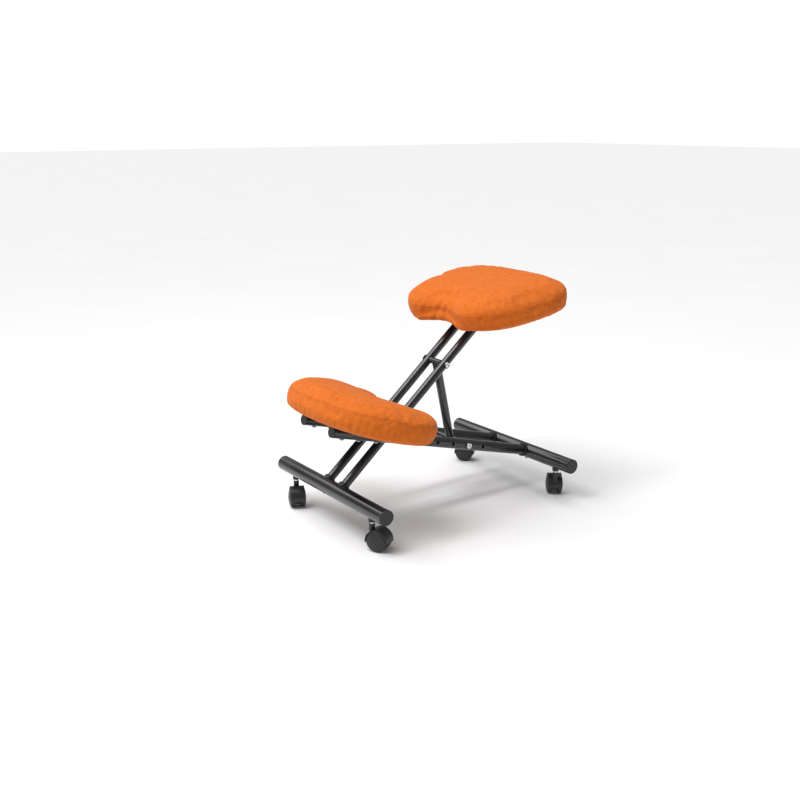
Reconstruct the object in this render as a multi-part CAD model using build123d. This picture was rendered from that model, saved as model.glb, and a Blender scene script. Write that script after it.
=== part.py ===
from build123d import *
from math import acos, cos, degrees, radians, sin, sqrt
import os

# A kneeling chair on four twin-wheel casters, in millimetres.
# The origin is on the floor under the middle of the chair. The sitter faces -Y and +Z is up.
# Right and left are as seen from the front, facing the sitter, so +X is right.

# ---- crossbars, each with a cap at both ends and two casters ----
bar_length = 464
bar_diameter = 38
bar_wall = 1.5
bar_height = 94
wheelbase = 582
front_bar_y = -281
cap_flange = 4
cap_plug_length = 16
cap_plug_wall = 2

# ---- pair of uprights, from the front bar up and back to the seat ----
upright_angle = 40.5
upright_diameter = 22
upright_wall = 1.5
upright_spacing = 64
seat_joint_distance = 591.6

# ---- pair of rails, from the rear bar up and forward under the knee pad ----
rail_angle = 15
rail_diameter = 28
rail_wall = 1.5
rail_length = 641
plug_flange = 4
plug_length = 18

# ---- joints between the tubes and the bars ----
saddle_height = 5
saddle_wall = 3.5
slug_length = 24
slug_clearance = 0.1

# ---- pivot and brace ----
pivot_spacer = 5
bolt_diameter = 8
bolt_head_diameter = 16
bolt_head_height = 5
nut_width = 13
nut_height = 7
washer_diameter = 19
washer_lip = 1.5
washer_depth = 3
spacer_diameter = 19
nut_end = 2
sleeve_diameter = 16
brace_diameter = 22
brace_wall = 1.5
brace_distance = 416
hole_diameter = 8.6
hole_count = 4
hole_start = 175
hole_pitch = 51
hole_used = 1

# ---- pads; each half width is at the back, before the corners are rounded ----
seat_half_width = 232.4
seat_half_depth = 166.3
seat_height = 67
seat_taper = 32.7
seat_side_bulge = 35.1
seat_end_bulge = 26.5
seat_corner_radius = 102.7
seat_notch_depth = 33
seat_notch_radius = 75
seat_lip_radius = 50
seat_tilt = 10.75
seat_offset = 18.2
knee_half_width = 233.8
knee_half_depth = 147.5
knee_height = 70
knee_taper = 22
knee_side_bulge = 40
knee_end_bulge = 29
knee_corner_radius = 106
knee_notch_depth = 102
knee_notch_radius = 60
knee_lip_radius = 30
knee_distance = 531.5
pad_edge_radius = 22
cover_thickness = 2
hem_thickness = 1.5
hem_width = 36
least_lip_radius = 3
board_thickness = 12
board_inset = 26

# ---- pad fasteners ----
screw_diameter = 6
screw_head_diameter = 11
screw_head_height = 3.3
tee_flange_diameter = 18
tee_flange_height = 1.5
tee_barrel_diameter = 8
tee_barrel_length = 9
plate_width = 150
plate_depth = 120
plate_thickness = 4
plate_hole_width = 120
plate_hole_depth = 90
knee_screw_distances = (508, 560, 608)

# ---- casters ----
caster_inset = 60
wheel_radius = 25
wheel_inner = 8.5
wheel_outer = 18.5
wheel_dome = 4
tread_thickness = 3
tread_chamfer = 1
rim_chamfer = 2
disc_thickness = 1
hub_radius = 6
axle_diameter = 5
hood_gap = 1
hood_wall = 2
hood_skirt = 4
hood_setback = 0.5
web_half = 7.5
web_drop = 14
web_gap = 0.5
caster_trail = 18
stem_diameter = 10
neck_diameter = 14
neck_top = 62
neck_floor = 14
socket_diameter = 17
socket_sleeve_diameter = 13
socket_height = 8
stem_rise = 6
caster_headings = {"front_right": 28, "front_left": -25, "rear_right": 142, "rear_left": 222}

# ---- clearances ----
running_clearance = 0.05
seat_gap = 0.1
drill_clearance = 0.2
sleeve_clearance = 0.4

# ---- places worked out from the sizes above ----
rear_bar_y = front_bar_y + wheelbase
rail_spacing = upright_spacing + upright_diameter + 2 * pivot_spacer + rail_diameter
bar_radius = bar_diameter / 2
bar_bore = bar_radius - bar_wall
upright_radius = upright_diameter / 2
rail_radius = rail_diameter / 2
angle_between = radians(upright_angle + rail_angle)
pivot_on_rail = wheelbase * sin(radians(upright_angle)) / sin(angle_between)
pivot_on_upright = wheelbase * sin(radians(rail_angle)) / sin(angle_between)
hole_distances = [hole_start + hole_pitch * i for i in range(hole_count)]
used_hole = hole_distances[hole_used]
brace_arm = brace_distance - pivot_on_upright
used_arm = pivot_on_rail - used_hole
brace_length = sqrt(brace_arm**2 + used_arm**2 - 2 * brace_arm * used_arm * cos(angle_between))
side_names = {1: "right", -1: "left"}
bottom = (Align.CENTER, Align.CENTER, Align.MIN)
top = (Align.CENTER, Align.CENTER, Align.MAX)


def rod(diameter, length):
    """A cylinder from the origin up along Z."""
    return Cylinder(diameter / 2, length, align=bottom)


def tube(diameter, wall, length):
    """A round tube from the origin up along Z."""
    return rod(diameter, length) - rod(diameter - 2 * wall, length)


def across(shape):
    """Turns a shape made along Z so that it lies along X, centred where it was."""
    return Rot(0, 90, 0) * shape


def cross_cut(diameter, length):
    """A drill that runs along X, centred on the origin."""
    return across(Cylinder(diameter / 2, length))


def on_upright(side, distance):
    """A frame on an upright's axis, Z up along it, at a distance from the front bar's axis."""
    start = Pos(side * upright_spacing / 2, front_bar_y, bar_height)
    return start * Rot(upright_angle - 90, 0, 0) * Pos(0, 0, distance)


def on_rail(side, distance):
    """A frame on a rail's axis, Z up along it, at a distance from the rear bar's axis."""
    start = Pos(side * rail_spacing / 2, rear_bar_y, bar_height)
    return start * Rot(90 - rail_angle, 0, 0) * Pos(0, 0, distance)


def bar_cylinder(y, diameter, length):
    """A solid cylinder on a crossbar's axis."""
    return Pos(0, y, bar_height) * cross_cut(diameter, length)


def both(make):
    """The same piece on the right and on the left."""
    return [make(1), make(-1)]


# ---------------------------------------------------------------- fasteners

def hex_prism(width, height):
    """A hexagonal prism from the origin up, with its width across flats."""
    return extrude(RegularPolygon(width / sqrt(3), 6), height)


def button_bolt(diameter, length, head_diameter, head_height):
    """A round-headed socket bolt: its head stands on the origin and its shank hangs below."""
    head = rod(head_diameter, head_height)
    head = fillet(head.edges().sort_by(Axis.Z)[-1], head_height * 0.6)
    head -= Pos(0, 0, head_height * 0.4) * hex_prism(diameter * 0.62, head_height)
    return head + Cylinder(diameter / 2, length, align=top)


def hex_nut():
    """A hexagonal nut with its outer corners turned off."""
    nut = hex_prism(nut_width, nut_height) - rod(bolt_diameter, nut_height)
    return nut & Cone(nut_width * 0.72, nut_width * 0.5, nut_height, align=bottom)


def saddle_washer(tube_diameter):
    """A washer along +X whose inner face is hollowed to fit the side of a tube on Z."""
    face = tube_diameter / 2 + washer_lip
    wall = (washer_diameter - bolt_diameter) / 2 - drill_clearance
    disc = Pos(face - washer_depth, 0, 0) * across(tube(washer_diameter, wall, washer_depth))
    return disc - Cylinder(tube_diameter / 2, 3 * washer_diameter)


# ---------------------------------------------------------------- crossbars

def crossbar(y, drill_place, tube_diameter):
    """A crossbar with its sockets, its lock screws and two tubes drilled into it."""
    bar = Pos(0, y, bar_height) * across(Cylinder(bar_radius, bar_length - 2 * cap_flange))
    bar -= bar_cylinder(y, 2 * bar_bore, bar_length)
    for side in side_names:
        bar -= drill_place(side, 0) * rod(tube_diameter + 2 * drill_clearance, bar_diameter)
        bar -= stem_place(side, y) * Cylinder(
            socket_sleeve_diameter / 2 + seat_gap, bar_radius, align=bottom)
        screw_x = drill_place(side, 0).position.X
        bar -= Pos(screw_x, y, bar_height) * Cylinder(
            screw_diameter / 2 + drill_clearance, bar_radius, align=top)
    return bar


def bar_cap(side, y):
    """A plastic end cap: a rounded flange and a hollow plug inside the bar."""
    flange = rod(bar_diameter, cap_flange)
    flange = fillet(flange.edges().sort_by(Axis.Z)[-1], cap_flange * 0.5)
    plug = tube(2 * bar_bore - 2 * seat_gap, cap_plug_wall, cap_plug_length)
    cap = flange + Pos(0, 0, -cap_plug_length) * plug
    end = Pos(side * (bar_length / 2 - cap_flange), y, bar_height)
    return end * Rot(0, side * 90, 0) * cap


def tube_end(tube_radius):
    """How far past the bar's axis a tube reaches, until its edge meets the inside of the bar."""
    return sqrt(bar_bore**2 - tube_radius**2) - 5 * seat_gap


def lock_screw(x, y):
    """A screw from under a crossbar into the slug at the end of a tube."""
    screw = button_bolt(screw_diameter, bar_radius, screw_head_diameter, screw_head_height)
    return Pos(x, y, bar_height - bar_radius) * Rot(180, 0, 0) * screw


def slug(place, side, tube_bore, tube_radius, y):
    """A threaded plug inside the end of a tube, which the lock screw holds."""
    plug = rod(tube_bore - 2 * slug_clearance, slug_length)
    plug = place(side, -tube_end(tube_radius)) * plug
    x = place(side, 0).position.X
    return plug - Pos(x, y, bar_height) * Cylinder(
        screw_diameter / 2 + running_clearance, bar_diameter, align=(Align.CENTER,) * 3)


def saddle(place, side, tube_diameter, y):
    """A moulded collar round a tube, hollowed to sit on the crossbar."""
    collar_diameter = tube_diameter + 2 * saddle_wall
    ring = rod(collar_diameter, bar_radius + saddle_height)
    ring = chamfer(ring.edges().sort_by(Axis.Z)[-1], saddle_wall * 0.6)
    ring -= rod(tube_diameter + 2 * seat_gap, bar_radius + saddle_height)
    return place(side, 0) * ring - bar_cylinder(y, bar_diameter + 2 * seat_gap, bar_length)


# ---------------------------------------------------------------- uprights and rails

def upright(side):
    """An upright tube, cut off flush under the seat plate."""
    start = -tube_end(upright_radius)
    pipe = on_upright(side, start) * tube(upright_diameter, upright_wall, 1.2 * seat_joint_distance)
    pivot_bore = bolt_diameter + 2 * running_clearance
    pipe -= on_upright(side, pivot_on_upright) * cross_cut(pivot_bore, 2 * upright_diameter)
    brace_bore = bolt_diameter + 2 * drill_clearance
    pipe -= on_upright(side, brace_distance) * cross_cut(brace_bore, 2 * upright_diameter)
    pipe -= Pos(side * upright_spacing / 2, front_bar_y, bar_height) * Cylinder(
        screw_diameter / 2 + drill_clearance, bar_radius, align=top)
    above = Box(4 * seat_half_width, 4 * seat_half_depth, 2 * seat_joint_distance, align=bottom)
    return pipe - seat_place() * Pos(0, 0, -plate_thickness) * above


def rail(side):
    """A rail tube with its row of brace holes, pivot hole and knee pad screw holes."""
    start = -tube_end(rail_radius)
    pipe = on_rail(side, start) * tube(rail_diameter, rail_wall, rail_length - plug_flange - start)
    for distance in hole_distances:
        pipe -= on_rail(side, distance) * cross_cut(hole_diameter, 2 * rail_diameter)
    pivot_bore = bolt_diameter + 2 * drill_clearance
    pipe -= on_rail(side, pivot_on_rail) * cross_cut(pivot_bore, 2 * rail_diameter)
    for distance in knee_screw_distances:
        pipe -= on_rail(side, distance) * Rot(90, 0, 0) * Cylinder(
            screw_diameter / 2 + drill_clearance, 2 * rail_diameter)
    return pipe - Pos(side * rail_spacing / 2, rear_bar_y, bar_height) * Cylinder(
        screw_diameter / 2 + drill_clearance, bar_radius, align=top)


def rail_plug(side):
    """A plastic plug in the front end of a rail."""
    flange = rod(rail_diameter, plug_flange)
    flange = fillet(flange.edges().sort_by(Axis.Z)[-1], plug_flange * 0.5)
    bore = rail_diameter - 2 * rail_wall
    plug = tube(bore - 2 * seat_gap, cap_plug_wall, plug_length)
    return on_rail(side, rail_length - plug_flange) * (flange + Pos(0, 0, -plug_length) * plug)


# ---------------------------------------------------------------- pivot and brace

def pivot_bolt():
    """The long bolt through both rails and both uprights."""
    grip = rail_spacing + rail_diameter + 2 * washer_lip
    bolt = button_bolt(bolt_diameter, grip + nut_height + nut_end, bolt_head_diameter, bolt_head_height)
    return on_rail(0, pivot_on_rail) * Pos(grip / 2, 0, 0) * across(bolt)


def pivot_nut():
    """The nut on the left end of the pivot bolt."""
    face = rail_spacing / 2 + rail_radius + washer_lip
    return on_rail(0, pivot_on_rail) * Pos(-face, 0, 0) * Rot(0, -90, 0) * hex_nut()


def pivot_spacer_ring(side):
    """A nylon ring on the pivot bolt between an upright and its rail."""
    thickness = pivot_spacer - seat_gap
    bore = bolt_diameter + 2 * drill_clearance
    ring = tube(spacer_diameter, (spacer_diameter - bore) / 2, thickness)
    start = rail_spacing / 2 - rail_radius
    return on_rail(0, pivot_on_rail) * Pos(side * start, 0, 0) * Rot(0, -side * 90, 0) * ring


def cross_sleeve(length):
    """A sleeve that lies along X, bored to turn on a bolt."""
    bore = bolt_diameter + 2 * running_clearance
    return across(Cylinder(sleeve_diameter / 2, length) - Cylinder(bore / 2, length))


def pivot_sleeve():
    """The sleeve on the pivot bolt between the two uprights."""
    return on_rail(0, pivot_on_rail) * cross_sleeve(
        upright_spacing - upright_diameter - 2 * seat_gap)


def rail_washers():
    """Saddle washers under the pivot bolt, its nut and the two adjusting bolts."""
    washers = []
    for distance in (pivot_on_rail, used_hole):
        washers.append(on_rail(1, distance) * saddle_washer(rail_diameter))
        washers.append(on_rail(-1, distance) * Rot(0, 0, 180) * saddle_washer(rail_diameter))
    return washers


def adjusting_bolt(side):
    """A short bolt through both walls of a rail, flush with the rail's inner side."""
    grip = rail_diameter + washer_lip
    bolt = button_bolt(bolt_diameter, grip, bolt_head_diameter, bolt_head_height)
    face = side * (rail_radius + washer_lip)
    return on_rail(side, used_hole) * Pos(face, 0, 0) * Rot(0, side * 90, 0) * bolt


def brace_bolt():
    """The bolt through both uprights that the brace hangs on."""
    grip = upright_spacing + upright_diameter + 2 * washer_lip
    bolt = button_bolt(bolt_diameter, grip + nut_height + nut_end, bolt_head_diameter, bolt_head_height)
    return on_upright(0, brace_distance) * Pos(grip / 2, 0, 0) * across(bolt)


def brace_nut():
    """The nut on the left end of the brace bolt."""
    face = upright_spacing / 2 + upright_radius + washer_lip
    return on_upright(0, brace_distance) * Pos(-face, 0, 0) * Rot(0, -90, 0) * hex_nut()


def brace_washers():
    """Saddle washers under the head and the nut of the brace bolt."""
    right = on_upright(1, brace_distance) * saddle_washer(upright_diameter)
    left = on_upright(-1, brace_distance) * Rot(0, 0, 180) * saddle_washer(upright_diameter)
    return [right, left]


def brace_place():
    """A frame at the brace bolt with Z down along the brace, towards the adjusting bolts."""
    upper = on_upright(0, brace_distance).position
    lower = on_rail(0, used_hole).position
    lean = degrees(acos((upper.Z - lower.Z) / brace_length))
    turn = 180 + lean if lower.Y > upper.Y else 180 - lean
    return Pos(upper) * Rot(turn, 0, 0)


def brace_tube():
    """The brace tube, its ends hollowed to fit the two sleeves."""
    pipe = tube(brace_diameter, brace_wall, brace_length)
    for end in (0, brace_length):
        pipe -= Pos(0, 0, end) * cross_cut(sleeve_diameter, 2 * brace_diameter)
    return brace_place() * max(pipe.solids(), key=lambda solid: solid.volume)


def brace_sleeves():
    """The sleeve on the brace bolt and the one between the rails."""
    upper = cross_sleeve(upright_spacing - upright_diameter - 2 * seat_gap)
    lower = cross_sleeve(rail_spacing - rail_diameter - 2 * sleeve_clearance)
    return [brace_place() * upper, brace_place() * Pos(0, 0, brace_length) * lower]


# ---------------------------------------------------------------- pads

def seat_place():
    """A frame on the middle of the seat's underside, Z square to it."""
    joint = on_upright(0, seat_joint_distance).position
    return Pos(joint) * Rot(seat_tilt, 0, 0) * Pos(0, seat_offset, 0)


def knee_place():
    """A frame on the middle of the knee pad's underside, Z square to it."""
    return on_rail(0, knee_distance) * Rot(-90, 0, 0) * Pos(0, 0, rail_radius)


def pad_outline(pad, inset):
    """A pad's outline, moved in: four bowed sides with round corners, and a dent in one."""
    half_width = pad["half_width"] - inset
    half_depth = pad["half_depth"] - inset
    wide = half_width - pad["side_bulge"]
    deep = half_depth - pad["end_bulge"]
    front = wide - pad["taper"]
    side = half_width - pad["taper"] / 2
    notch_radius = pad["notch_radius"] + inset
    notch_centre = pad["half_depth"] - pad["notch_depth"] + pad["notch_radius"]
    with BuildSketch() as sketch:
        with BuildLine():
            ThreePointArc((-front, -deep), (0, -half_depth), (front, -deep))
            ThreePointArc((front, -deep), (side, 0), (wide, deep))
            ThreePointArc((wide, deep), (0, half_depth), (-wide, deep))
            ThreePointArc((-wide, deep), (-side, 0), (-front, -deep))
        make_face()
        fillet(sketch.vertices(), pad["corner_radius"] - inset)
        with Locations(Rot(0, 0, 90 * pad["notch_side"]) * Pos(notch_centre, 0, 0)):
            Circle(notch_radius, mode=Mode.SUBTRACT)
            Rectangle(
                half_depth, 2 * notch_radius,
                align=(Align.MIN, Align.CENTER), mode=Mode.SUBTRACT)
        mouth = [v for v in sketch.vertices() if abs(v.X) < notch_radius + 1]
        mouth.sort(key=lambda corner: corner.Y * pad["notch_side"])
        fillet(mouth[-2:], max(pad["lip_radius"] - inset, least_lip_radius))
    return sketch.sketch


def pad_slab(pad, inset, base, height):
    """A flat slab of a pad's outline, moved in by the inset."""
    return Pos(0, 0, base) * extrude(pad_outline(pad, inset), height)


def rounded_slab(pad, inset, base, height, radius):
    """A slab whose top and bottom edges are rounded over."""
    slab = pad_slab(pad, inset, base, height)
    rims = slab.faces().sort_by(Axis.Z)
    return fillet(rims[0].edges() + rims[-1].edges(), radius)


def make_pad(pad, drills):
    """The cover, foam, board and dust sheet of a pad, standing on the XY plane."""
    outer = rounded_slab(pad, 0, 0, pad["height"], pad_edge_radius)
    core_height = pad["height"] - hem_thickness - cover_thickness
    core_radius = pad_edge_radius - cover_thickness
    core = rounded_slab(pad, cover_thickness, hem_thickness, core_height, core_radius)
    opening = pad_slab(pad, hem_width, -hem_thickness, 3 * hem_thickness)
    board = pad_slab(pad, board_inset, hem_thickness, board_thickness)
    sheet = pad_slab(pad, hem_width + seat_gap, 0, hem_thickness)
    cover = outer - core - opening
    foam = core - board
    for x, y in drills:
        board -= Pos(x, y, 0) * rod(tee_barrel_diameter, pad["height"] / 2)
        flange_base = hem_thickness + board_thickness - tee_flange_height
        board -= Pos(x, y, flange_base) * rod(tee_flange_diameter, tee_flange_height)
        sheet -= Pos(x, y, 0) * rod(screw_diameter + 2 * drill_clearance, pad["height"] / 2)
    return cover, foam, board, sheet


def tee_nut(x, y):
    """A tee nut let into the top of a pad's board."""
    face = hem_thickness + board_thickness
    nut = Pos(0, 0, face - tee_flange_height) * rod(tee_flange_diameter, tee_flange_height)
    nut += Pos(0, 0, face - tee_barrel_length) * rod(tee_barrel_diameter, tee_barrel_length)
    bore = screw_diameter + 2 * running_clearance
    return Pos(x, y, 0) * (nut - rod(bore, 2 * face))


def pad_screw(x, y, stack):
    """A screw from below through a stack of metal into a tee nut."""
    length = stack + hem_thickness + board_thickness - tee_flange_height
    screw = button_bolt(screw_diameter, length, screw_head_diameter, screw_head_height)
    return Pos(x, y, -stack) * Rot(180, 0, 0) * screw


seat_pad = {
    "half_width": seat_half_width, "half_depth": seat_half_depth, "height": seat_height,
    "taper": seat_taper, "side_bulge": seat_side_bulge, "end_bulge": seat_end_bulge,
    "corner_radius": seat_corner_radius, "notch_side": -1, "notch_depth": seat_notch_depth,
    "notch_radius": seat_notch_radius, "lip_radius": seat_lip_radius,
}
knee_pad = {
    "half_width": knee_half_width, "half_depth": knee_half_depth, "height": knee_height,
    "taper": knee_taper, "side_bulge": knee_side_bulge, "end_bulge": knee_end_bulge,
    "corner_radius": knee_corner_radius, "notch_side": 1, "notch_depth": knee_notch_depth,
    "notch_radius": knee_notch_radius, "lip_radius": knee_lip_radius,
}
seat_drills = [
    (side_x * plate_hole_width / 2, side_y * plate_hole_depth / 2 - seat_offset)
    for side_x in (1, -1) for side_y in (1, -1)
]
knee_drills = [
    (side * rail_spacing / 2, knee_distance - distance)
    for side in side_names for distance in knee_screw_distances
]


def seat_plate():
    """The steel plate that the uprights carry and the seat board is screwed to."""
    plate = Pos(0, -seat_offset, -plate_thickness) * Box(
        plate_width, plate_depth, plate_thickness, align=bottom)
    plate = fillet(plate.edges().filter_by(Axis.Z), 4 * plate_thickness)
    for x, y in seat_drills:
        plate -= Pos(x, y, 0) * Cylinder(screw_diameter / 2 + drill_clearance, 3 * plate_thickness)
    return plate


# ---------------------------------------------------------------- casters

def stem_place(side, y):
    """A frame on a caster's stem axis, under its bar, at the bar's underside."""
    return Pos(side * (bar_length / 2 - caster_inset), y, bar_height - bar_radius)


def caster_socket(side, y):
    """The collar under the bar that holds a caster's stem."""
    flange = Pos(0, 0, -socket_height) * rod(socket_diameter, socket_height + bar_radius / 2)
    flange = stem_place(side, y) * flange - bar_cylinder(y, bar_diameter, bar_length)
    sleeve = stem_place(side, y) * Pos(0, 0, -socket_height / 2) * rod(
        socket_sleeve_diameter, socket_height / 2 + bar_radius + stem_rise)
    bore = stem_place(side, y) * Cylinder(stem_diameter / 2 + running_clearance, 2 * bar_diameter)
    return flange + sleeve - bore


def caster_stem(side, y):
    """The steel stem, from the floor of the caster's neck up into the bar."""
    low = wheel_radius + neck_floor + 3 * seat_gap
    x = side * (bar_length / 2 - caster_inset)
    return Pos(x, y, low) * rod(stem_diameter, bar_height + stem_rise - low)


def caster_place(side, y, name):
    """A frame at the middle of a caster's axle, X along its trail and Y along the axle."""
    x = side * (bar_length / 2 - caster_inset)
    return Pos(x, y, 0) * Rot(0, 0, caster_headings[name]) * Pos(caster_trail, 0, wheel_radius)


def disc_across(radius, half_length):
    """A cylinder on the axle's line."""
    return Rot(90, 0, 0) * Cylinder(radius, 2 * half_length)


def keep_above(shape, height):
    """What is left of a shape above a height over the axle."""
    reach = 8 * wheel_radius
    return shape - Pos(0, 0, height) * Box(reach, reach, reach, align=top)


def caster_hood():
    """The hood over both wheels, its middle web and the neck round the stem."""
    inner = wheel_radius + hood_gap
    outer = inner + hood_wall
    shell = disc_across(outer, wheel_outer - hood_setback) - disc_across(inner, wheel_outer)
    web = keep_above(disc_across(inner + hood_wall / 2, web_half), -hood_skirt)
    web += keep_above(disc_across(0.85 * wheel_radius, web_half), -web_drop)
    neck = Pos(-caster_trail, 0, neck_floor - hood_skirt) * rod(
        neck_diameter, neck_top - wheel_radius - neck_floor + hood_skirt)
    hood = keep_above(shell, -hood_skirt) + web + neck
    hood -= disc_across(axle_diameter / 2, web_half)
    return hood - Pos(-caster_trail, 0, neck_floor) * rod(
        stem_diameter + 2 * running_clearance, wheel_radius * 2)


def caster_wheel(side):
    """A wheel with a domed, closed outer face and a blind bore for the axle."""
    bore = axle_diameter / 2 + running_clearance
    hub_face = web_half + web_gap
    face = wheel_outer - tread_thickness
    back = face - disc_thickness
    drum = wheel_radius - tread_thickness
    rim = wheel_radius - rim_chamfer
    dome_radius = (rim**2 + wheel_dome**2) / (2 * wheel_dome)
    halfway = wheel_outer + wheel_dome - dome_radius + sqrt(dome_radius**2 - (rim / 2) ** 2)
    with BuildSketch(Plane.XY) as section:
        with BuildLine():
            Polyline(
                (0, face), (bore, face), (bore, hub_face), (hub_radius, hub_face),
                (hub_radius, back), (drum, back), (drum, wheel_inner),
                (wheel_radius - tread_chamfer, wheel_inner),
                (wheel_radius, wheel_inner + tread_chamfer),
                (wheel_radius, wheel_outer - rim_chamfer), (rim, wheel_outer),
            )
            ThreePointArc((rim, wheel_outer), (rim / 2, halfway), (0, wheel_outer + wheel_dome))
            Line((0, wheel_outer + wheel_dome), (0, face))
        make_face()
    wheel = revolve(section.sketch, Axis.Y)
    return wheel if side > 0 else Rot(0, 0, 180) * wheel


def caster_axle():
    """The axle through the web into both wheels."""
    return disc_across(axle_diameter / 2, wheel_outer - tread_thickness - seat_gap)


# ---------------------------------------------------------------- the chair

def frame_parts():
    """The crossbars, rails, uprights and what joins them."""
    upright_bore = upright_diameter - 2 * upright_wall
    rail_bore = rail_diameter - 2 * rail_wall
    parts = {
        "front_bar": crossbar(front_bar_y, on_upright, upright_diameter),
        "rear_bar": crossbar(rear_bar_y, on_rail, rail_diameter),
        "front_bar_caps": both(lambda side: bar_cap(side, front_bar_y)),
        "rear_bar_caps": both(lambda side: bar_cap(side, rear_bar_y)),
        "upright_saddles": both(lambda s: saddle(on_upright, s, upright_diameter, front_bar_y)),
        "rail_saddles": both(lambda s: saddle(on_rail, s, rail_diameter, rear_bar_y)),
        "upright_slugs": both(
            lambda s: slug(on_upright, s, upright_bore, upright_radius, front_bar_y)),
        "rail_slugs": both(lambda s: slug(on_rail, s, rail_bore, rail_radius, rear_bar_y)),
        "front_lock_screws": both(lambda s: lock_screw(s * upright_spacing / 2, front_bar_y)),
        "rear_lock_screws": both(lambda s: lock_screw(s * rail_spacing / 2, rear_bar_y)),
        "rail_end_plugs": both(rail_plug),
    }
    for side, name in side_names.items():
        parts[f"upright_{name}"] = upright(side)
        parts[f"rail_{name}"] = rail(side)
    return parts


def pivot_parts():
    """The pivot between rails and uprights, and the adjustable brace."""
    return {
        "pivot_bolt": pivot_bolt(),
        "pivot_nut": pivot_nut(),
        "pivot_spacers": both(pivot_spacer_ring),
        "pivot_sleeve": pivot_sleeve(),
        "rail_washers": rail_washers(),
        "adjusting_bolts": both(adjusting_bolt),
        "brace_tube": brace_tube(),
        "brace_sleeves": brace_sleeves(),
        "brace_bolt": brace_bolt(),
        "brace_nut": brace_nut(),
        "brace_washers": brace_washers(),
    }


def pad_parts():
    """The seat and the knee pad with their boards and screws."""
    parts = {"seat_plate": seat_place() * seat_plate()}
    jobs = (
        ("seat", seat_pad, seat_place(), seat_drills, plate_thickness),
        ("knee", knee_pad, knee_place(), knee_drills, rail_diameter),
    )
    for name, pad, place, drills, stack in jobs:
        pieces = make_pad(pad, drills)
        for piece, solid in zip(("cover", "foam", "board", "dust_sheet"), pieces):
            parts[f"{name}_{piece}"] = place * solid
        parts[f"{name}_tee_nuts"] = [place * tee_nut(x, y) for x, y in drills]
        parts[f"{name}_screws"] = [place * pad_screw(x, y, stack) for x, y in drills]
    return parts


def caster_parts():
    """The four casters, each with a hood, an axle and two wheels."""
    parts = {}
    for end, y in (("front", front_bar_y), ("rear", rear_bar_y)):
        parts[f"{end}_caster_sockets"] = both(lambda side: caster_socket(side, y))
        parts[f"{end}_caster_stems"] = both(lambda side: caster_stem(side, y))
        for side, hand in side_names.items():
            name = f"{end}_{hand}"
            place = caster_place(side, y, name)
            parts[f"caster_{name}_hood"] = place * caster_hood()
            parts[f"caster_{name}_axle"] = place * caster_axle()
            parts[f"caster_{name}_wheel_a"] = place * caster_wheel(1)
            parts[f"caster_{name}_wheel_b"] = place * caster_wheel(-1)
    return parts


def main():
    os.makedirs("parts", exist_ok=True)
    for make in (frame_parts, pivot_parts, pad_parts, caster_parts):
        for name, shape in make().items():
            solids = shape if isinstance(shape, list) else [shape]
            export_step(Compound(children=[Compound(s.solids()) for s in solids]), f"parts/{name}.step")


main()
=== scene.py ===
from math import atan2, cos, pi, radians, sin, sqrt

import bmesh
import bpy
import numpy as np
from mathutils import Matrix, Vector
from mathutils.bvhtree import BVHTree


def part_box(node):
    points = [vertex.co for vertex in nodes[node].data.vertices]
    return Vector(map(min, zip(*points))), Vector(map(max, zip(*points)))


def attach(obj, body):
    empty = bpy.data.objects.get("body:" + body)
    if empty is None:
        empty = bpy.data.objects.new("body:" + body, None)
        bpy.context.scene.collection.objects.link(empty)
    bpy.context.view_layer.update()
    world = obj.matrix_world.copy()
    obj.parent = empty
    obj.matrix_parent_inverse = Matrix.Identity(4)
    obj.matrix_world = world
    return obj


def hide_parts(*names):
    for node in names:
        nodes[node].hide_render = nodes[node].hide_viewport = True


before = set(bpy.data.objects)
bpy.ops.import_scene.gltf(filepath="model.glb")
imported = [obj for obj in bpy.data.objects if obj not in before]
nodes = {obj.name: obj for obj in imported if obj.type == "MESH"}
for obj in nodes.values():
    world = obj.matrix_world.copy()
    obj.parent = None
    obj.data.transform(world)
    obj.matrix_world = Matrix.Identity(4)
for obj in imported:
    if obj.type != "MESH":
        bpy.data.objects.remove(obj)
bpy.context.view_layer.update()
bpy.ops.object.select_all(action="DESELECT")


# ---------------------------------------------------------------- steel tubes
# The crossbars, uprights, rails and brace are drawn steel tube with a black satin powder coat.
# The coat is baked on, so it has a fine orange peel, a crisp highlight and no grain.

POWDER_BLACK = "#161619"
POWDER_WORN = "#26262B"
PEEL_SIZE = 0.0011
RUB_SIZE = 0.09
TUBES = (
    "front_bar", "rear_bar", "upright_left", "upright_right", "rail_left", "rail_right",
    "brace_tube", "brace_sleeves", "seat_plate",
)


def linear(code):
    """The linear colour of an sRGB hex value."""
    parts = [int(code[i:i + 2], 16) / 255 for i in (1, 3, 5)]
    return tuple(p / 12.92 if p <= 0.04045 else ((p + 0.055) / 1.055) ** 2.4 for p in parts) + (1,)


def add_node(tree, kind, settings=None, links=None, output=0):
    """Adds a node, sets its properties and inputs, links its inputs and gives one output."""
    node = tree.nodes.new(kind)
    for name, value in (settings or {}).items():
        if isinstance(name, str) and hasattr(node, name):
            setattr(node, name, value)
        else:
            node.inputs[name].default_value = value
    for name, source in (links or {}).items():
        tree.links.new(source, node.inputs[name])
    return node.outputs[output] if node.outputs else node


def new_material(name):
    """An empty material, its node tree, and the place on the piece that its patterns read."""
    material = bpy.data.materials.new(name)
    material.use_nodes = True
    tree = material.node_tree
    tree.nodes.clear()
    return material, tree, add_node(tree, "ShaderNodeTexCoord", output="Object")


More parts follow.
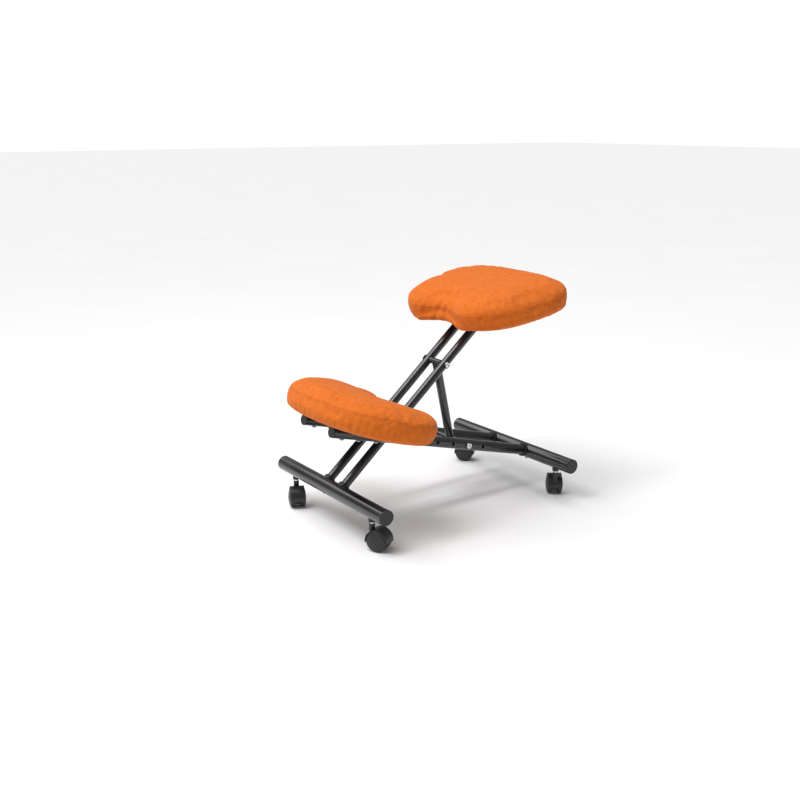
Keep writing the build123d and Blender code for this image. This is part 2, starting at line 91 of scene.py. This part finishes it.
def powder_coat():
    """Black satin powder coat: orange peel over steel, a little duller where it is rubbed."""
    material, tree, place = new_material("black_powder_coat")
    noise = {"Scale": 1 / RUB_SIZE, "Detail": 3.0}
    rubbed = add_node(tree, "ShaderNodeTexNoise", noise, {"Vector": place})
    share = add_node(tree, "ShaderNodeMapRange", {"From Min": 0.35, "From Max": 0.65},
                     {"Value": rubbed})
    peel = add_node(tree, "ShaderNodeTexNoise", {"Scale": 1 / PEEL_SIZE}, {"Vector": place})
    ends = {"data_type": "RGBA", 6: linear(POWDER_BLACK), 7: linear(POWDER_WORN)}
    colour = add_node(tree, "ShaderNodeMix", ends, {0: share}, 2)
    roughness = add_node(tree, "ShaderNodeMapRange", {"To Min": 0.2, "To Max": 0.3},
                         {"Value": share})
    normal = add_node(tree, "ShaderNodeBump", {"Distance": 0.00004, "Strength": 0.2},
                      {"Height": peel})
    shader = add_node(tree, "ShaderNodeBsdfPrincipled",
                      {"IOR": 1.5, "Coat Weight": 0.4, "Coat Roughness": 0.08},
                      {"Base Color": colour, "Roughness": roughness, "Normal": normal})
    add_node(tree, "ShaderNodeOutputMaterial", links={"Surface": shader})
    return material


def finish_nodes(names, material, angle=35):
    """Gives CAD nodes their material, and smooth shading up to an angle in degrees."""
    for name in names:
        piece = nodes[name]
        piece.data.materials.clear()
        piece.data.materials.append(material)
        bpy.ops.object.select_all(action="DESELECT")
        piece.select_set(True)
        bpy.context.view_layer.objects.active = piece
        bpy.ops.object.shade_smooth_by_angle(angle=radians(angle))
    bpy.ops.object.select_all(action="DESELECT")


finish_nodes(TUBES, powder_coat())


# ---------------------------------------------------------------- moulded trim
# The bar caps, rail plugs, saddles, washers and stem sockets are injection-moulded polypropylene.
# The mould leaves a fine even texture, so they look flatter and greyer than the tubes.

TRIM_BLACK = "#1A1A1C"
TRIM_GREY = "#27272A"
TRIM_GRAIN = 0.0007
FLOW_SIZE = 0.03
TRIM = (
    "front_bar_caps", "rear_bar_caps", "rail_end_plugs", "upright_saddles", "rail_saddles",
    "rail_washers", "brace_washers", "pivot_spacers", "front_caster_sockets",
    "rear_caster_sockets",
)


def moulded_plastic(name, dark, light, grain, low, high):
    """A textured moulding: fine even grain, faint flow marks and a dull highlight."""
    material, tree, place = new_material(name)
    flow = add_node(tree, "ShaderNodeTexNoise", {"Scale": 1 / FLOW_SIZE}, {"Vector": place})
    texture = add_node(tree, "ShaderNodeTexNoise", {"Scale": 1 / grain}, {"Vector": place})
    ends = {"data_type": "RGBA", 6: linear(dark), 7: linear(light)}
    colour = add_node(tree, "ShaderNodeMix", ends, {0: flow}, 2)
    roughness = add_node(tree, "ShaderNodeMapRange", {"To Min": low, "To Max": high},
                         {"Value": flow})
    normal = add_node(tree, "ShaderNodeBump", {"Distance": 0.00005, "Strength": 0.5},
                      {"Height": texture})
    shader = add_node(tree, "ShaderNodeBsdfPrincipled", {"IOR": 1.49},
                      {"Base Color": colour, "Roughness": roughness, "Normal": normal})
    add_node(tree, "ShaderNodeOutputMaterial", links={"Surface": shader})
    return material


finish_nodes(TRIM, moulded_plastic("moulded_polypropylene", TRIM_BLACK, TRIM_GREY, TRIM_GRAIN,
                                   0.42, 0.56))


# ---------------------------------------------------------------- bolts and screws
# The bolts that show are bright chrome plate, and the hidden steel is plain zinc plate.
# Chrome is a mirror with faint haze; zinc is greyer, softer and slightly mottled.

CHROME_DARK = "#C0C2C6"
CHROME_LIGHT = "#D8DADE"
ZINC_DARK = "#8C8F93"
ZINC_LIGHT = "#B4B7BA"
HAZE_SIZE = 0.006
POLISH_SIZE = 0.0008
BRIGHT = (
    "pivot_bolt", "pivot_nut", "adjusting_bolts", "brace_bolt", "brace_nut",
    "front_caster_stems", "rear_caster_stems",
)
PLAIN = (
    "pivot_sleeve", "upright_slugs", "rail_slugs", "front_lock_screws", "rear_lock_screws",
    "seat_screws", "knee_screws", "seat_tee_nuts", "knee_tee_nuts",
)


def plated_metal(name, dark, light, low, high):
    """Plated steel: its colour and polish drift a little over the surface."""
    material, tree, place = new_material(name)
    haze = add_node(tree, "ShaderNodeTexNoise", {"Scale": 1 / HAZE_SIZE}, {"Vector": place})
    polish = add_node(tree, "ShaderNodeTexNoise", {"Scale": 1 / POLISH_SIZE}, {"Vector": place})
    ends = {"data_type": "RGBA", 6: linear(dark), 7: linear(light)}
    colour = add_node(tree, "ShaderNodeMix", ends, {0: haze}, 2)
    roughness = add_node(tree, "ShaderNodeMapRange", {"To Min": low, "To Max": high},
                         {"Value": haze})
    normal = add_node(tree, "ShaderNodeBump", {"Distance": 0.00002, "Strength": 0.3},
                      {"Height": polish})
    shader = add_node(tree, "ShaderNodeBsdfPrincipled", {"Metallic": 1.0},
                      {"Base Color": colour, "Roughness": roughness, "Normal": normal})
    add_node(tree, "ShaderNodeOutputMaterial", links={"Surface": shader})
    return material


finish_nodes(BRIGHT, plated_metal("chrome_plate", CHROME_DARK, CHROME_LIGHT, 0.06, 0.18))
finish_nodes(PLAIN, plated_metal("zinc_plate", ZINC_DARK, ZINC_LIGHT, 0.32, 0.48))


# ---------------------------------------------------------------- casters
# Each caster is a glass-filled nylon hood over two hard nylon wheels on a steel axle.
# The hood is slightly glossy on its drum; the wheels are duller, with fine scuffs on the tread.

NYLON_BLACK = "#1A1A1C"
NYLON_GREY = "#2A2A2D"
WHEEL_BLACK = "#18181A"
WHEEL_GREY = "#303033"
HOOD_GRAIN = 0.0009
SCUFF_SIZE = 0.0016
CORNERS = ("front_right", "front_left", "rear_right", "rear_left")

hood_finish = moulded_plastic("glass_filled_nylon", NYLON_BLACK, NYLON_GREY, HOOD_GRAIN, 0.3, 0.44)
wheel_finish = moulded_plastic("hard_nylon", WHEEL_BLACK, WHEEL_GREY, SCUFF_SIZE, 0.4, 0.58)
axle_finish = plated_metal("turned_steel", ZINC_DARK, ZINC_LIGHT, 0.25, 0.4)
for corner in CORNERS:
    finish_nodes((f"caster_{corner}_hood",), hood_finish)
    finish_nodes((f"caster_{corner}_axle",), axle_finish)
    finish_nodes((f"caster_{corner}_wheel_a", f"caster_{corner}_wheel_b"), wheel_finish, 25)


# ---------------------------------------------------------------- boards
# Each pad stands on a birch plywood board, which the cover hides but for its screw holes.
# Rotary-cut veneer has long soft figure and a dry, dull face.

PLY_LIGHT = "#C9A877"
PLY_DARK = "#A98552"
FIGURE_LENGTH = 0.12
FIGURE_WIDTH = 0.011


def birch_plywood():
    """Rotary-cut birch face veneer: noise stretched along the grain."""
    material, tree, place = new_material("birch_plywood")
    stretch = (1 / FIGURE_LENGTH, 1 / FIGURE_WIDTH, 1 / FIGURE_WIDTH)
    grain = add_node(tree, "ShaderNodeMapping", {"Scale": stretch}, {"Vector": place})
    figure = add_node(tree, "ShaderNodeTexNoise", {"Scale": 1.0, "Detail": 6.0},
                      {"Vector": grain})
    ends = {"data_type": "RGBA", 6: linear(PLY_DARK), 7: linear(PLY_LIGHT)}
    colour = add_node(tree, "ShaderNodeMix", ends, {0: figure}, 2)
    normal = add_node(tree, "ShaderNodeBump", {"Distance": 0.0002}, {"Height": figure})
    shader = add_node(tree, "ShaderNodeBsdfPrincipled", {"Roughness": 0.72, "IOR": 1.45},
                      {"Base Color": colour, "Normal": normal})
    add_node(tree, "ShaderNodeOutputMaterial", links={"Surface": shader})
    return material


finish_nodes(("seat_board", "knee_board"), birch_plywood())


# ---------------------------------------------------------------- seat pad
# The seat is a foam block in an orange stretch cover of fine woven polyester, dented at the front.
# A domed top panel is sewn to a side band, and an elastic hem pulls the band under the board.

ORANGE = "#DE7014"
ORANGE_DEEP = "#C85E0A"
# Painted shade: the orange as it looks in the shadow of the seam groove.
SEAM_SHADE = "#5A2406"
DUST_BLACK = "#161617"
# The real threads lie 0.4 mm apart; they are drawn four times as coarse, so that they show.
THREAD_SPACING = 0.0016
BAND_SCALE = 0.314
NAP_SIZE = 0.0045
PATCH_SIZE = 0.012
VOXEL = 0.0044
MAX_SWELL = 0.007
EDGE_POWER = 2.5
HEM_INSET = 0.0345
BOARD_REACH = 0.019
UNDERSIDE = -0.0012
LIP_FILL = 0.8
# Of these numbers, the seam tone is the strength of the painted shade in the seam groove.
SEAT = {
    "name": "seat", "body": "seat_frame", "tilt": 10.75, "half_width": 0.214,
    "half_depth": 0.1645, "height": 0.064, "roundness": 2.83, "taper": 0.09, "notch_side": -1,
    "notch_depth": 0.033, "notch_width": 0.067, "notch_power": 2, "crown": 0.0065,
    "low_edge": 0.023, "top_edge": 0.050, "seam_height": 0.036, "seam_depth": 0.0006,
    "seam_shade": 0.12, "gathers": 44, "gather_depth": 0.0009, "fold_depth": 0.0017,
}


def pad_matrix(pad):
    """From the pad's own frame, on the middle of its underside, to the row frame."""
    low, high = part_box(f"{pad['name']}_cover")
    turn = Matrix.Rotation(radians(pad["tilt"]), 4, "X")
    middle = Matrix.Translation((low + high) / 2)
    return middle @ turn @ Matrix.Translation((0, 0, -pad["height"] / 2))


def outline_xy(pad, angle, shrink, spread=0.8):
    """A point on the pad's outline, moved in: a tapered superellipse with a dent at one side."""
    half_width = pad["half_width"]
    half_depth = pad["half_depth"]
    power = 2 / pad["roundness"]
    x = half_width * np.sign(cos(angle)) * abs(cos(angle)) ** power
    y = half_depth * np.sign(sin(angle)) * abs(sin(angle)) ** power
    x *= 1 + pad["taper"] * y / half_depth
    x *= 1 - shrink / half_width
    y *= 1 - shrink / half_depth
    width = pad["notch_width"] + shrink * spread
    dent = pad["notch_depth"] * np.exp(-(abs(x) / width) ** pad["notch_power"])
    side = pad["notch_side"]
    return x, y - side * dent * max(0, side * y / half_depth)


def pad_rings(pad):
    """How far in and how high each ring of the pad lies, from its underside to its top."""
    half = pad["height"] / 2
    reach = 0.7 * pad["half_depth"]
    rings = [(pad["low_edge"] + (reach - pad["low_edge"]) * (1 - k / 6), 0.0) for k in range(1, 7)]
    for k in range(1, 24):
        turn = -pi / 2 + pi * k / 24
        inward = 1 - abs(cos(turn)) ** (2 / EDGE_POWER)
        rise = np.sign(sin(turn)) * abs(sin(turn)) ** (2 / EDGE_POWER)
        edge = pad["top_edge"] if turn > 0 else pad["low_edge"]
        rings.append((edge * inward, half + half * rise))
    for k in range(0, 9):
        share = k / 8
        shrink = pad["top_edge"] + (reach - pad["top_edge"]) * share
        rings.append((shrink, pad["height"] + pad["crown"] * (1 - (1 - share) ** 2)))
    return rings


def bell(value, width):
    """A smooth bump that is 1 at 0 and fades over the width."""
    return np.exp(-(value / width) ** 2)


def full_lips(pad, angle):
    """How much fuller the underside is beside the dent, where the board comes near the edge."""
    x, y = outline_xy(pad, angle, 0)
    at_lip = bell(abs(x) - 1.25 * pad["notch_width"], 0.45 * pad["notch_width"])
    return LIP_FILL * at_lip * (pad["notch_side"] * y > 0)


def pad_blank(pad):
    """The pad's closed form before it swells, skinned over its rings."""
    around = 200
    mesh = bmesh.new()
    loops = []
    for shrink, height in pad_rings(pad):
        loop = []
        for i in range(around):
            angle = 2 * pi * (i + 0.5) / around
            if height < pad["height"] / 2:
                x, y = outline_xy(pad, angle, shrink * (1 - full_lips(pad, angle)), 0)
            else:
                x, y = outline_xy(pad, angle, shrink)
            loop.append(mesh.verts.new((x, y, height)))
        loops.append(loop)
    for lower, upper in zip(loops, loops[1:]):
        for i in range(around):
            j = (i + 1) % around
            mesh.faces.new((lower[i], lower[j], upper[j], upper[i]))
    mesh.faces.new(loops[0][::-1])
    mesh.faces.new(loops[-1])
    bmesh.ops.recalc_face_normals(mesh, faces=mesh.faces)
    data = bpy.data.meshes.new(f"{pad['name']}_cushion")
    mesh.to_mesh(data)
    mesh.free()
    return data


def apply_modifiers(piece):
    """Applies every modifier of a piece, in order."""
    bpy.ops.object.select_all(action="DESELECT")
    piece.select_set(True)
    bpy.context.view_layer.objects.active = piece
    for modifier in list(piece.modifiers):
        bpy.ops.object.modifier_apply(modifier=modifier.name)
    piece.select_set(False)


def positions(data, what="co"):
    """The mesh's vertices, or their normals, as an array."""
    flat = np.empty(len(data.vertices) * 3)
    data.vertices.foreach_get(what, flat)
    return flat.reshape(-1, 3)


def set_positions(data, points):
    """Moves the mesh's vertices."""
    data.vertices.foreach_set("co", points.ravel())
    data.update()


def swell(piece):
    """Blows the cover up as cloth over its foam, with the underside held flat on the board."""
    before = positions(piece.data)
    held = piece.vertex_groups.new(name="held")
    held.add([i for i, point in enumerate(before) if point[2] < 0.006], 1.0, "REPLACE")
    cloth = piece.modifiers.new("cloth", "CLOTH")
    cloth.settings.quality = 6
    cloth.settings.use_pressure = True
    cloth.settings.uniform_pressure_force = 4.0
    cloth.settings.tension_stiffness = 12
    cloth.settings.compression_stiffness = 12
    cloth.settings.bending_stiffness = 0.6
    cloth.settings.vertex_group_mass = "held"
    cloth.settings.effector_weights.gravity = 0
    cloth.point_cache.frame_start = 1
    cloth.point_cache.frame_end = 20
    for number in range(1, 21):
        bpy.context.scene.frame_set(number)
    apply_modifiers(piece)
    bpy.context.scene.frame_set(1)
    move = positions(piece.data) - before
    length = np.linalg.norm(move, axis=1, keepdims=True)
    set_positions(piece.data, before + move * np.minimum(1, MAX_SWELL / np.maximum(length, 1e-9)))
    piece.vertex_groups.clear()


def add_attribute(data, name, values):
    """Stores one number for each vertex."""
    layer = data.attributes.new(name, "FLOAT", "POINT")
    layer.data.foreach_set("value", np.asarray(values, dtype=np.float32))


def wander(angle, seed, count=5):
    """A smooth closed wave round the pad, between about -1 and 1, the same each run."""
    draw = np.random.default_rng(seed)
    total = np.zeros_like(angle)
    for turn in range(1, count + 1):
        total += draw.normal() * np.sin(turn * angle + draw.uniform(0, 2 * pi)) / turn
    return total / 1.6


def seam_height_at(pad, angle):
    """The height of the seam between top panel and side band, which wanders a little."""
    return pad["seam_height"] + 0.0012 * wander(angle, 3)


def distance_in(pad, points):
    """About how far each point lies inside the outline, in metres."""
    rim = np.array([outline_xy(pad, 2 * pi * i / 240, 0) for i in range(240)], dtype=float)
    nearest = np.empty(len(points))
    step = 20000
    for start in range(0, len(points), step):
        apart = points[start:start + step, None, :2] - rim[None]
        nearest[start:start + step] = np.sqrt((apart ** 2).sum(2)).min(1)
    return nearest


def notch_folds(pad, points, side):
    """Soft folds that run from the pad's dent up over the edge, where the cover is pulled in."""
    x, y, height = points.T
    sign = pad["notch_side"]
    reach = bell(x, 1.3 * pad["notch_width"]) * np.clip(sign * y / pad["half_depth"], 0, 1) ** 2
    lean = x + 0.35 * (height - pad["height"]) * np.sign(x)
    folds = np.sin(lean * 2 * pi / 0.034) + 0.6 * np.sin(lean * 2 * pi / 0.021 + 1.3)
    return pad["fold_depth"] * folds * reach * (0.2 + 0.8 * side)


def top_waves(points, normals):
    """Slow unevenness of the foam under the top panel."""
    x, y, _ = points.T
    wave = np.sin(x * 31 + 0.7) * np.sin(y * 27 + 1.9) + 0.5 * np.sin(x * 57 - y * 43)
    return 0.0003 * wave * np.clip(normals[:, 2], 0, 1)


def sew(piece, pad):
    """Presses in seam, gathers and folds, lays the underside flat, marks painted seam shade and
    sheet.
    """
    data = piece.data
    points = positions(data)
    normals = positions(data, "normal")
    angle = np.arctan2(points[:, 1] / pad["half_depth"], points[:, 0] / pad["half_width"])
    height = points[:, 2]
    side = 1 - np.clip(np.abs(normals[:, 2]), 0, 1) ** 3
    from_seam = height - seam_height_at(pad, angle)
    groove = bell(from_seam, 0.0022) * side
    ridge = bell(from_seam - 0.0045, 0.0032) * side
    fade = np.clip((pad["seam_height"] - height) / pad["seam_height"], 0, 1)
    phase = angle * pad["gathers"] + 2.2 * wander(angle, 7)
    amount = np.clip(0.6 + 0.55 * wander(angle * 3, 11), 0.1, 1.1)
    gather = np.sin(phase) * fade ** 1.2 * amount * (normals[:, 2] > -0.9) * side
    move = pad["seam_depth"] * (0.4 * ridge - groove) + pad["gather_depth"] * gather
    move += notch_folds(pad, points, side) + top_waves(points, normals)
    depth_in = distance_in(pad, points)
    points += normals * move[:, None]
    held = (height < 0.005) & (depth_in > BOARD_REACH)
    points[held, 2] = np.minimum(points[held, 2], UNDERSIDE)
    set_positions(data, points)
    under = (normals[:, 2] < -0.8) & (height < 0.006)
    inside = np.clip((depth_in - HEM_INSET + 0.003) / 0.002, 0, 1)
    # The seam mark is painted shade: the cloth is darkened along the seam groove, where shade
    # falls.
    add_attribute(data, "seam", groove * pad["seam_shade"])
    add_attribute(data, "dust", np.where(under, inside, 0))


def stretch_weave():
    """Fine woven polyester: crossed threads with nap, painted shade in the seam, black beneath."""
    material, tree, place = new_material("woven_stretch_polyester")
    threads = []
    for direction in ("X", "Y", "Z"):
        bands = {"bands_direction": direction, "Scale": BAND_SCALE / THREAD_SPACING,
                 "Distortion": 0.6, "Detail": 1.0}
        threads.append(add_node(tree, "ShaderNodeTexWave", bands, {"Vector": place}, "Fac"))
    crossed = add_node(tree, "ShaderNodeMath", {"operation": "MULTIPLY"},
                       {0: threads[0], 1: threads[1]})
    weave = add_node(tree, "ShaderNodeMath", {"operation": "ADD"}, {0: crossed, 1: threads[2]})
    nap = add_node(tree, "ShaderNodeTexNoise", {"Scale": 1 / NAP_SIZE, "Detail": 5.0},
                   {"Vector": place})
    patch = add_node(tree, "ShaderNodeTexNoise", {"Scale": 1 / PATCH_SIZE}, {"Vector": place})
    worn = add_node(tree, "ShaderNodeMath", {"operation": "MULTIPLY"}, {0: weave, 1: nap})
    tone = add_node(tree, "ShaderNodeMath", {"operation": "MULTIPLY_ADD", 1: 0.45},
                    {0: worn, 2: patch})
    share = add_node(tree, "ShaderNodeMapRange", {"From Min": 0.35, "From Max": 0.95},
                     {"Value": tone})
    ends = {"data_type": "RGBA", 6: linear(ORANGE_DEEP), 7: linear(ORANGE)}
    colour = add_node(tree, "ShaderNodeMix", ends, {0: share}, 2)
    # First the seam's painted shade, then the dust sheet's own black, are mixed over the cloth
    # colour.
    for attribute, painted_shade_and_sheet in (("seam", SEAM_SHADE), ("dust", DUST_BLACK)):
        mark = add_node(tree, "ShaderNodeAttribute", {"attribute_name": attribute}, output="Fac")
        colour = add_node(tree, "ShaderNodeMix", {"data_type": "RGBA", 7: linear(painted_shade_and_sheet)},
                          {0: mark, 6: colour}, 2)
    relief = add_node(tree, "ShaderNodeMath", {"operation": "MULTIPLY_ADD", 1: 0.5},
                      {0: weave, 2: nap})
    normal = add_node(tree, "ShaderNodeBump", {"Distance": 0.0006, "Strength": 0.6},
                      {"Height": relief})
    settings = {"Roughness": 0.9, "IOR": 1.45, "Sheen Weight": 0.18, "Sheen Roughness": 0.4,
                "Sheen Tint": linear("#FFC48A")}
    shader = add_node(tree, "ShaderNodeBsdfPrincipled", settings,
                      {"Base Color": colour, "Normal": normal})
    add_node(tree, "ShaderNodeOutputMaterial", links={"Surface": shader})
    return material


def yarn(name, dark, light, grain, relief):
    """Twisted or ribbed yarn: its fibres catch the light unevenly."""
    material, tree, place = new_material(name)
    twist = add_node(tree, "ShaderNodeTexNoise", {"Scale": 1 / grain}, {"Vector": place})
    ends = {"data_type": "RGBA", 6: linear(dark), 7: linear(light)}
    colour = add_node(tree, "ShaderNodeMix", ends, {0: twist}, 2)
    normal = add_node(tree, "ShaderNodeBump", {"Distance": relief}, {"Height": twist})
    shader = add_node(tree, "ShaderNodeBsdfPrincipled", {"Roughness": 0.7, "IOR": 1.5},
                      {"Base Color": colour, "Normal": normal})
    add_node(tree, "ShaderNodeOutputMaterial", links={"Surface": shader})
    return material


def place_piece(pad, name, data, material):
    """Moves a mesh from the pad's frame to its place and rides it on the pad's body."""
    data.transform(pad_matrix(pad))
    data.materials.clear()
    data.materials.append(material)
    for face in data.polygons:
        face.use_smooth = True
    piece = bpy.data.objects.new(name, data)
    bpy.context.scene.collection.objects.link(piece)
    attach(piece, pad["body"])
    return piece


def make_cushion(pad, material):
    """The padded piece: blank, remesh, cloth, subdivision and sewing, then into its place."""
    blank = bpy.data.objects.new(f"{pad['name']}_blank", pad_blank(pad))
    bpy.context.scene.collection.objects.link(blank)
    remesh = blank.modifiers.new("remesh", "REMESH")
    remesh.mode = "VOXEL"
    remesh.voxel_size = VOXEL
    relax = blank.modifiers.new("relax", "SMOOTH")
    relax.factor = 0.5
    relax.iterations = 3
    apply_modifiers(blank)
    swell(blank)
    finer = blank.modifiers.new("finer", "SUBSURF")
    finer.levels = 1
    finer.render_levels = 1
    apply_modifiers(blank)
    sew(blank, pad)
    data = blank.data
    surface = BVHTree.FromPolygons([vert.co.copy() for vert in data.vertices],
                                   [tuple(face.vertices) for face in data.polygons])
    bpy.data.objects.remove(blank)
    piece = place_piece(pad, f"{pad['name']}_cushion", data, material)
    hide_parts(f"{pad['name']}_cover", f"{pad['name']}_foam", f"{pad['name']}_dust_sheet")
    return surface


def seam_points(pad, surface, drop, spacing):
    """Points on the cover just under the seam, evenly spaced, with their directions."""
    rim = [outline_xy(pad, 2 * pi * i / 1440, 0) for i in range(1441)]
    travelled = spacing
    for (x0, y0), (x1, y1) in zip(rim, rim[1:]):
        travelled += sqrt((x1 - x0) ** 2 + (y1 - y0) ** 2)
        if travelled < spacing:
            continue
        travelled = 0
        along = Vector((x1 - x0, y1 - y0, 0)).normalized()
        out = Vector((along.y, -along.x, 0))
        angle = np.array([atan2(y0 / pad["half_depth"], x0 / pad["half_width"])])
        start = Vector((x0, y0, float(seam_height_at(pad, angle)[0]) - drop))
        spot, normal, _, _ = surface.ray_cast(start + out * 0.03, -out)
        if spot is not None and (spot - start).length < 0.02:
            yield spot, along, normal


def make_stitches(pad, surface, material):
    """A row of short stitches just under the seam: one stitch, copied."""
    bpy.ops.mesh.primitive_ico_sphere_add(subdivisions=1, radius=1.0)
    stitch = bpy.context.object
    shape = positions(stitch.data)
    faces = [tuple(face.vertices) for face in stitch.data.polygons]
    bpy.data.objects.remove(stitch)
    points, joined = [], []
    for spot, along, normal in seam_points(pad, surface, 0.0042, 0.0046):
        across = normal.cross(along).normalized()
        frame_of = np.array([along * 0.0017, across * 0.00045, normal * 0.00045])
        joined += [tuple(i + len(points) for i in face) for face in faces]
        points += [tuple(row) for row in shape @ frame_of + np.array(spot)]
    data = bpy.data.meshes.new(f"{pad['name']}_stitches")
    data.from_pydata(points, [], joined)
    piece = place_piece(pad, f"{pad['name']}_stitches", data, material)


def make_hem(pad, material):
    """The elastic hem: a thin wavy band under the pad, where cover and dust sheet meet."""
    around, section = 256, 8
    bpy.ops.mesh.primitive_torus_add(major_segments=around, minor_segments=section,
                                     major_radius=1.0, minor_radius=0.1)
    ring = bpy.context.object
    points = positions(ring.data)
    for i in range(around):
        angle = 2 * pi * (i + 0.5) / around
        ripple = 0.0006 * sin(angle * 2 * pad["gathers"])
        for k in range(section):
            turn = 2 * pi * k / section
            x, y = outline_xy(pad, angle, HEM_INSET - 0.0028 * cos(turn) + ripple)
            points[i * section + k] = (x, y, UNDERSIDE + 0.0002 + 0.0011 * sin(turn) + ripple)
    set_positions(ring.data, points)
    data = ring.data.copy()
    data.name = f"{pad['name']}_hem"
    bpy.data.objects.remove(ring)
    piece = place_piece(pad, f"{pad['name']}_hem", data, material)


cover_cloth = stretch_weave()
thread = yarn("sewing_thread", "#8E3C0A", "#B4520F", 0.0007, 0.0001)
elastic = yarn("ribbed_elastic", "#1A1210", "#3A2018", 0.0013, 0.0003)
seat_surface = make_cushion(SEAT, cover_cloth)
make_stitches(SEAT, seat_surface, thread)
make_hem(SEAT, elastic)


# ---------------------------------------------------------------- knee pad
# The knee pad is made as the seat is, with a deep dent at the back that the uprights pass through.
# Its seam shows as a faint groove with painted shade in it, and the elastic gathers its side band
# into small pleats.

# Of these numbers, the seam tone is the strength of the painted shade in the seam groove.
KNEE = {
    "name": "knee", "body": "rail_frame", "tilt": -15.0, "half_width": 0.2245,
    "half_depth": 0.1455, "height": 0.067, "roundness": 2.36, "taper": 0.07, "notch_side": 1,
    "notch_depth": 0.101, "notch_width": 0.074, "notch_power": 4, "crown": 0.006,
    "low_edge": 0.025, "top_edge": 0.044, "seam_height": 0.047, "seam_depth": 0.0007,
    "seam_shade": 0.20, "gathers": 60, "gather_depth": 0.0018, "fold_depth": 0.0005,
}
knee_surface = make_cushion(KNEE, cover_cloth)
make_stitches(KNEE, knee_surface, thread)
make_hem(KNEE, elastic)


# ---------------------------------------------------------------- floor, light and camera
# A plain pale studio: a white floor, a broad soft sun from the front left, and one long strip
# above the front that draws the thin bright lines along the uprights.

FLOOR_DARK = "#F5F5F5"
FLOOR_LIGHT = "#FAFAFA"
MOTTLE_SIZE = 0.5
EYE = Vector((1.9179, -1.4639, 0.9522))
AIM = Vector((0.0, -0.0775, 0.2823))
LENS = 44.61


def paper():
    """Matt white studio paper, with the faintest mottle."""
    material, tree, place = new_material("studio_paper")
    mottle = add_node(tree, "ShaderNodeTexNoise", {"Scale": 1 / MOTTLE_SIZE}, {"Vector": place})
    ends = {"data_type": "RGBA", 6: linear(FLOOR_DARK), 7: linear(FLOOR_LIGHT)}
    colour = add_node(tree, "ShaderNodeMix", ends, {0: mottle}, 2)
    shader = add_node(tree, "ShaderNodeBsdfPrincipled", {"Roughness": 0.95},
                      {"Base Color": colour})
    add_node(tree, "ShaderNodeOutputMaterial", links={"Surface": shader})
    return material


def add_light(name, kind, place, aim, power, settings):
    """A light that looks at a point."""
    light = bpy.data.lights.new(name, kind)
    light.energy = power
    for key, value in settings.items():
        setattr(light, key, value)
    piece = bpy.data.objects.new(name, light)
    piece.location = place
    piece.rotation_euler = (Vector(aim) - Vector(place)).to_track_quat("-Z", "Y").to_euler()
    bpy.context.scene.collection.objects.link(piece)


bpy.ops.mesh.primitive_plane_add(size=60, location=(0, 0, 0))
floor = bpy.context.object
floor.name = "studio_floor"
floor.data.materials.append(paper())
bpy.ops.object.select_all(action="DESELECT")

world = bpy.data.worlds.new("studio")
world.use_nodes = True
sky = world.node_tree
sky.nodes.clear()
lit = add_node(sky, "ShaderNodeBackground", {"Color": linear("#FFFFFF"), "Strength": 0.3})
white = add_node(sky, "ShaderNodeBackground", {"Color": linear("#FFFFFF"), "Strength": 1.0})
seen = add_node(sky, "ShaderNodeLightPath")
either = add_node(sky, "ShaderNodeMixShader", links={0: seen, 1: lit, 2: white})
add_node(sky, "ShaderNodeOutputWorld", links={"Surface": either})
bpy.context.scene.world = world
bpy.context.scene.view_settings.view_transform = "Standard"
CHAIR = (0.0, 0.0, 0.3)
add_light("soft_sun", "SUN", (-0.8, -0.6, 2.4), CHAIR, 2.4, {"angle": radians(70)})
add_light("strip", "AREA", (0.0, -1.1, 2.6), CHAIR, 26,
          {"shape": "RECTANGLE", "size": 0.45, "size_y": 1.7})

camera_data = bpy.data.cameras.new("camera")
camera_data.lens = LENS
camera = bpy.data.objects.new("camera", camera_data)
camera.location = EYE
camera.rotation_euler = (AIM - EYE).to_track_quat("-Z", "Y").to_euler()
bpy.context.scene.collection.objects.link(camera)
bpy.context.scene.camera = camera
